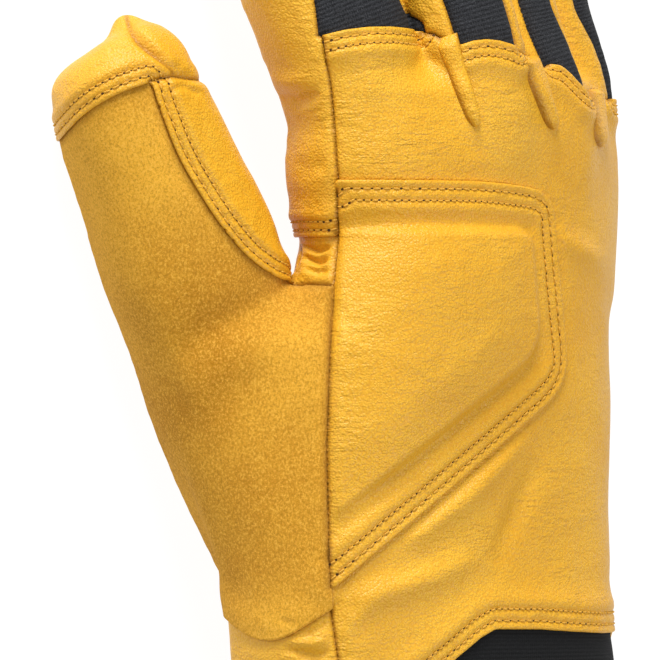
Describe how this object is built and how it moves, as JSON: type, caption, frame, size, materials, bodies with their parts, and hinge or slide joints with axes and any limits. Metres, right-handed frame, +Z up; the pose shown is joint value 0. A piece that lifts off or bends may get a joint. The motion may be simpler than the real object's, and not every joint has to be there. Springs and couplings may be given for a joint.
{
  "type": "ski touring glove",
  "caption": "Padded leather ski touring glove for the right hand, lying palm down, with a raised foam panel on its back, a suede thumb patch and a stretch cuff.",
  "frame": {"origin": "middle of the bounding box's footprint, on the surface that the glove lies on", "axes": "+X towards the little finger, +Y towards the fingertips, +Z up from the surface, which the palm faces"},
  "size_m": [0.1574, 0.2954, 0.056],
  "materials": {
    "grain_leather": "smooth goat grain with a soft sheen",
    "suede": "napped suede, matte",
    "stretch_cloth": "ribbed stretch knit, matte",
    "thread": "waxed sewing thread",
    "lining": "brushed lining, matte"
  },
  "bodies": {
    "root": {"back_of_hand": "grain_leather", "padded_panel": "grain_leather", "palm": "grain_leather", "index_front": "grain_leather", "middle_front": "grain_leather", "ring_front": "grain_leather", "little_front": "grain_leather", "thumb_front": "grain_leather", "index_side": "grain_leather", "index_gusset": "grain_leather", "index_middle_fourchette": "grain_leather", "middle_ring_fourchette": "grain_leather", "ring_little_fourchette": "grain_leather", "little_side": "grain_leather", "index_middle_rib": "grain_leather", "middle_ring_rib": "grain_leather", "ring_little_rib": "grain_leather", "index_cap": "grain_leather", "middle_cap": "grain_leather", "ring_cap": "grain_leather", "little_cap": "grain_leather", "thumb_cap": "grain_leather", "thumb_side": "grain_leather", "thumb_patch": "suede", "index_back": "stretch_cloth", "middle_back": "stretch_cloth", "ring_back": "stretch_cloth", "little_back": "stretch_cloth", "cuff": "stretch_cloth", "cuff_hem": "stretch_cloth"}
  },
  "joints": []
}
